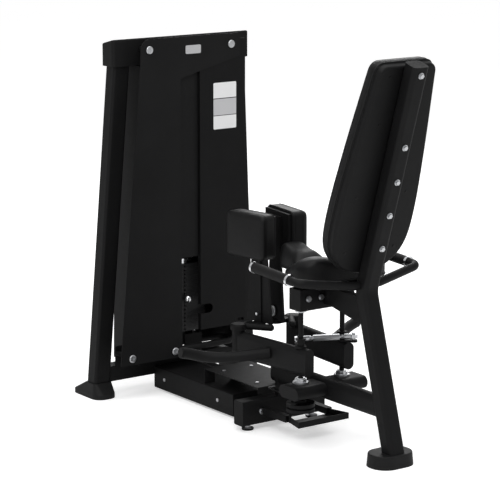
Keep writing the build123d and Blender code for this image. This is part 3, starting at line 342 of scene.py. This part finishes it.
CHROME = ((0.72, 0.73, 0.75), (0.86, 0.87, 0.88), 0.07, 0.14, (90.0, 90.0, 400.0), 0.05)
ZINC = ((0.5, 0.51, 0.53), (0.72, 0.73, 0.74), 0.24, 0.38, (500.0, 500.0, 500.0), 0.12)
BARE_NUT = (0.6, 0.6, 0.62)
placard_low, placard_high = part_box("blank_placard")
MATERIALS = {
    "frame_paint": powder_coat("frame_powder", near_black(0.0042), 0.5, 0.62, 900.0, 0.16),
    "panel_paint": powder_coat("panel_powder", near_black(0.0052), 0.52, 0.62, 1100.0, 0.1),
    # Painted shade: a darker copy of the panel paint, used on the right stack panel.
    "panel_painted_shade": powder_coat("panel_painted_shade", near_black(0.0034), 0.55, 0.65, 1100.0, 0.1),
    "upholstery": grained_vinyl("black_vinyl", near_black(0.0044)),
    "backing": moulded("backing_shell", near_black(0.005), 0.45, 0.6, 500.0, 0.25),
    "grip_rubber": moulded("grip_foam", near_black(0.005), 0.55, 0.7, 650.0, 0.4, 0.22),
    "foot_rubber": moulded("boot_rubber", near_black(0.0052), 0.5, 0.66, 420.0, 0.3, 0.25),
    "plastic_black": moulded("black_plastic", (0.006, 0.006, 0.006), 0.35, 0.5, 380.0, 0.2),
    "chrome": bright_metal("polished_chrome", *CHROME),
    "zinc": bright_metal("zinc_plate", *ZINC),
    "black_screws": split_finish("black_screws", *SCREW_SPLIT, (0.003, 0.003, 0.003), BARE_NUT),
    "rubber_foot": split_finish("rubber_foot", *NUT_SPLIT, BARE_NUT, (0.004, 0.004, 0.004)),
    "weight_iron": weight_iron("weight_iron"),
    "cable": coated_cable("coated_cable"),
    "badge": brushed_badge("brushed_badge"),
    "placard": placard_print("placard_print", placard_low.z, placard_high.z),
}


def dress(obj, slot):
    """Give a piece one of the materials."""
    obj.data.materials.clear()
    obj.data.materials.append(MATERIALS[slot])


for part in frame["record"]["subparts"]:
    dress(NODES[part["node"]], part["material_slot"])
# The right stack panel gets the darker copy of the panel paint, as painted shade.
dress(NODES["stack_panel_right"], "panel_painted_shade")
dress(NODES["button_screws"], "black_screws")
for side in ("left", "right"):
    dress(NODES[f"levelling_foot_{side}"], "rubber_foot")


# --- mesh helpers ------------------------------------------------------------------------------
def smooth(data):
    data.polygons.foreach_set("use_smooth", [True] * len(data.polygons))


def evaluated(obj):
    """The mesh of an object with its modifiers applied."""
    depsgraph = bpy.context.evaluated_depsgraph_get()
    depsgraph.update()
    return bpy.data.meshes.new_from_object(obj.evaluated_get(depsgraph))


def points_of(data):
    flat = np.empty(len(data.vertices) * 3)
    data.vertices.foreach_get("co", flat)
    return flat.reshape(-1, 3)


def put_points(data, points):
    data.vertices.foreach_set("co", np.asarray(points, dtype=np.float32).ravel())
    data.update()


def normals_of(data):
    flat = np.empty(len(data.vertices) * 3)
    data.vertices.foreach_get("normal", flat)
    return flat.reshape(-1, 3)


def step(value, start, end):
    """Smooth 0..1 between start and end."""
    t = np.clip((value - start) / (end - start), 0.0, 1.0)
    return t * t * (3 - 2 * t)


def relax(data, rounds, free):
    """Laplacian smoothing; points where free is 0 stay."""
    edges = np.empty(len(data.edges) * 2, dtype=np.int64)
    data.edges.foreach_get("vertices", edges)
    first, second = edges.reshape(-1, 2).T
    points = points_of(data)
    count = np.bincount(edges, minlength=len(points))[:, None]
    for _ in range(rounds):
        total = np.zeros_like(points)
        np.add.at(total, first, points[second])
        np.add.at(total, second, points[first])
        points += 0.5 * free[:, None] * (total / count - points)
    put_points(data, points)


def crown(data, axis, travel, free):
    """Swell a pad: its face rises towards its middle and its free sides bulge a little."""
    points, normals = points_of(data), normals_of(data)
    axis = np.array(axis)
    across = np.cross(axis, (0.0, 0.0, 1.0) if abs(axis[2]) < 0.9 else (0.0, 1.0, 0.0))
    across /= np.linalg.norm(across)
    along = np.cross(axis, across)
    rise = np.clip(normals @ axis, 0.0, 1.0) ** 2
    for direction in (across, along):
        reach = points @ direction
        middle, half = (reach.max() + reach.min()) / 2, (reach.max() - reach.min()) / 2
        rise *= 1 - ((reach - middle) / half) ** 2
    bulge = travel * SIDE_BULGE * free * (1 - np.abs(normals @ axis))
    put_points(data, points + axis * (travel * rise)[:, None] + normals * bulge[:, None])


def padded(node, name, body, axis, firm, voxel, travel, rounds, shape=None):
    """Upholster a plain CAD solid: remesh, shape, soften and crown it, and keep its firm side flat.

    firm(points) gives 0 where the pad rests on its board and 1 where it is free."""
    pad = bpy.data.objects.new(name, NODES[node].data.copy())
    bpy.context.scene.collection.objects.link(pad)
    remesh = pad.modifiers.new("voxels", "REMESH")
    remesh.mode = "VOXEL"
    remesh.voxel_size = voxel
    data = evaluated(pad)
    pad.modifiers.clear()
    pad.data = data
    if shape:
        put_points(data, shape(points_of(data)))
    free = firm(points_of(data))
    relax(data, rounds, free)
    crown(data, axis, travel, free)
    relax(data, 2, free)
    smooth(data)
    detail = pad.modifiers.new("subdivision", "SUBSURF")
    detail.levels = 1
    detail.render_levels = 1
    dress(pad, "upholstery")
    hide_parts(node)
    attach(pad, body)
    return pad


def section(obj, origin, normal):
    """The longest closed line where a plane cuts an object's evaluated mesh."""
    bm = bmesh.new()
    bm.from_mesh(evaluated(obj))
    geometry = bm.verts[:] + bm.edges[:] + bm.faces[:]
    cut = bmesh.ops.bisect_plane(bm, geom=geometry, plane_co=origin, plane_no=normal)["geom_cut"]
    links = {}
    for edge in (item for item in cut if isinstance(item, bmesh.types.BMEdge)):
        a, b = edge.verts
        links.setdefault(a, []).append(b)
        links.setdefault(b, []).append(a)
    best, seen = [], set()
    for vert in links:
        if vert in seen:
            continue
        loop = [vert]
        seen.add(vert)
        while True:
            following = [v for v in links[loop[-1]] if v not in seen]
            if not following:
                break
            loop.append(following[0])
            seen.add(following[0])
        if len(loop) > len(best):
            best = loop
    line = np.array([v.co[:] for v in best])
    bm.free()
    return line


def even(line, spacing):
    """A closed line sampled again at an even spacing."""
    ring = np.vstack([line, line[:1]])
    reach = np.concatenate([[0], np.cumsum(np.linalg.norm(np.diff(ring, axis=0), axis=1))])
    count = max(8, int(round(reach[-1] / spacing)))
    marks = np.linspace(0, reach[-1], count, endpoint=False)
    return np.stack([np.interp(marks, reach, ring[:, k]) for k in range(3)], axis=1)


def cord(name, line, radius, slot, body, closed=True):
    """A round cord along a line of points."""
    curve = bpy.data.curves.new(name, "CURVE")
    curve.dimensions = "3D"
    curve.bevel_depth = radius
    curve.bevel_resolution = 3
    curve.use_fill_caps = True
    spline = curve.splines.new("POLY")
    spline.points.add(len(line) - 1)
    spline.points.foreach_set("co", np.hstack([line, np.ones((len(line), 1))]).ravel())
    spline.use_cyclic_u = closed
    spline.use_smooth = True
    obj = bpy.data.objects.new(name, curve)
    bpy.context.scene.collection.objects.link(obj)
    dress(obj, slot)
    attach(obj, body)


def edging(name, pad, normal, firm_side, piping, spacing, body):
    """Piping or a seam round a pad, a set distance above its firm side."""
    distance, radius = piping
    normal = Vector(normal)
    rim = section(pad, normal * (firm_side + distance), normal)
    cord(name, even(rim, spacing), radius, "upholstery", body)


# --- upholstery --------------------------------------------------------------------------------
seat_low, seat_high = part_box("seat_pad")


def saddle(points):
    """Seat top: high wings behind, low in front of them, and a raised nose roll."""
    x, y, z = points.T
    length, side = (y - seat_low.y) / (seat_high.y - seat_low.y), np.abs(x)
    wings = WING_TOP - WING_FALL * step(length, *WING_FALL_SPAN)
    wings -= DISH_DEPTH * (1 - step(side, *DISH_SPAN)) + EDGE_DROP * step(side, *EDGE_SPAN)
    nose = NOSE_TOP - NOSE_FRONT_DROP * step(length, *NOSE_FRONT_SPAN)
    nose -= NOSE_REAR_DROP * step(length, *NOSE_REAR_SPAN)
    centre = step(NOSE_HALF - side, 0.0, NOSE_BLEND) * step(length, *NOSE_SPAN)
    top = wings * (1 - centre) + nose * centre
    lift = (z - seat_low.z) / (seat_high.z - seat_low.z)
    shaped = points.copy()
    shaped[:, 2] = seat_low.z + lift * (top - seat_low.z)
    return shaped


def off_pan(points):
    return step(points[:, 2] - seat_low.z, *SEAT_FIRM)


def off_board(node, normal):
    """The furthest face of a board along normal, and a test of how free points are from it."""
    face = float((points_of(NODES[node].data) @ normal).max())
    return face, lambda points, firm: step(points @ normal - face, *firm)


UP = (0, 0, 1)
seat = padded("seat_pad", "seat_cushion", "frame", UP, off_pan, shape=saddle, **SEAT_PAD)

back_normal = np.array((0.0, math.cos(BACK_LEAN), math.sin(BACK_LEAN)))
back_face, back_free = off_board("back_board", back_normal)
back = padded("back_pad", "back_cushion", "frame", back_normal,
              lambda points: back_free(points, BACK_FIRM), **BACK_PAD)

for side, sign in (("left", -1), ("right", 1)):
    body = f"{side}_pad"
    yaw = -sign * THIGH_YAW
    outward = np.array((sign * math.cos(yaw), sign * math.sin(yaw), 0.0))
    face, free = off_board(f"thigh_board_{side}", outward)
    pad = padded(f"thigh_pad_{side}", f"thigh_cushion_{side}", body, outward,
                 lambda points: free(points, THIGH_FIRM), **THIGH_PAD)
    edging(f"thigh_piping_{side}", pad, outward, face, THIGH_PIPING, THIGH_SPACING, body)
    edging(f"thigh_seam_{side}", pad, outward, face, THIGH_SEAM, THIGH_SPACING, body)

BACK_EDGINGS = (("back_piping_rear", BACK_PIPING_REAR), ("back_piping_front", BACK_PIPING_FRONT))
for name, piping in BACK_EDGINGS:
    edging(name, back, back_normal, back_face, piping, LONG_SPACING, "frame")
edging("seat_piping", seat, UP, seat_low.z, SEAT_PIPING, LONG_SPACING, "frame")


# --- cable wraps -------------------------------------------------------------------------------
def arc(centre, radius, start, end):
    """Points on an arc in the YZ plane, angles in degrees from +Y."""
    angles = np.radians(np.linspace(start, end, 40))
    ring = np.stack([np.zeros(40), radius * np.cos(angles), radius * np.sin(angles)], axis=1)
    return ring + np.array(centre)


cable_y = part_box("drive_cable")[1].y - CABLE_R
for name, wheel, wrap in (("base", "base_pulley", BASE_WRAP), ("top", "top_pulley", TOP_WRAP)):
    low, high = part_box(wheel)
    centre = (low + high) / 2
    line = arc(centre, cable_y - centre.y, *wrap)
    cord(f"cable_wrap_{name}", line, CABLE_R, "cable", "frame", closed=False)


# --- room, light and camera --------------------------------------------------------------------
def area_light(name, place, target, size, power):
    data = bpy.data.lights.new(name, "AREA")
    data.shape = "RECTANGLE"
    data.size, data.size_y = size
    data.energy = power
    lamp = bpy.data.objects.new(name, data)
    bpy.context.scene.collection.objects.link(lamp)
    lamp.location = place
    lamp.rotation_euler = (Vector(target) - Vector(place)).to_track_quat("-Z", "Y").to_euler()
    lamp.visible_camera = False


def floor():
    mesh = bpy.data.meshes.new("floor")
    corners = [(x * FLOOR_HALF, y * FLOOR_HALF, 0) for x, y in ((-1, -1), (1, -1), (1, 1), (-1, 1))]
    mesh.from_pydata(corners, [], [(0, 1, 2, 3)])
    plane = bpy.data.objects.new("floor", mesh)
    bpy.context.scene.collection.objects.link(plane)
    plane.data.materials.append(pale_floor("pale_floor"))


def surround():
    """White backdrop for the camera; for the light, a sky that is brighter overhead."""
    world = bpy.data.worlds.new("surround")
    world.use_nodes = True
    bpy.context.scene.world = world
    nodes, link = world.node_tree.nodes, world.node_tree.links.new
    sky = nodes["Background"]
    sky.inputs["Strength"].default_value = SKY_POWER
    place = nodes.new("ShaderNodeTexCoord")
    split = nodes.new("ShaderNodeSeparateXYZ")
    ramp = nodes.new("ShaderNodeValToRGB")
    horizon, overhead = ramp.color_ramp.elements
    horizon.position, horizon.color = 0.0, (*SKY_LOW, 1)
    overhead.position, overhead.color = SKY_TOP_AT, (1, 1, 1, 1)
    link(place.outputs["Generated"], split.inputs[0])
    link(split.outputs["Z"], ramp.inputs["Fac"])
    link(ramp.outputs["Color"], sky.inputs["Color"])
    backdrop = nodes.new("ShaderNodeBackground")
    backdrop.inputs["Color"].default_value = (1, 1, 1, 1)
    rays = nodes.new("ShaderNodeLightPath")
    choice = nodes.new("ShaderNodeMixShader")
    link(rays.outputs["Is Camera Ray"], choice.inputs[0])
    link(sky.outputs[0], choice.inputs[1])
    link(backdrop.outputs[0], choice.inputs[2])
    link(choice.outputs[0], nodes["World Output"].inputs["Surface"])


def main_camera():
    """Camera behind the user and to their left, level, with a long lens."""
    data = bpy.data.cameras.new("camera")
    data.lens = CAMERA_LENS
    data.sensor_width = CAMERA_SENSOR
    data.clip_end = 200.0
    camera = bpy.data.objects.new("camera", data)
    bpy.context.scene.collection.objects.link(camera)
    right = Vector((math.cos(CAMERA_TURN), -math.sin(CAMERA_TURN), 0))
    level = Vector((math.sin(CAMERA_TURN), math.cos(CAMERA_TURN), 0))
    ahead = level * math.cos(CAMERA_DROP) - Vector((0, 0, math.sin(CAMERA_DROP)))
    axes = Matrix((right, right.cross(ahead), -ahead)).transposed().to_4x4()
    camera.matrix_world = Matrix.Translation(CAMERA_PLACE) @ axes
    bpy.context.scene.camera = camera


floor()
surround()
for lamp in LAMPS:
    area_light(*lamp)
main_camera()
bpy.context.scene.view_settings.view_transform = "Standard"
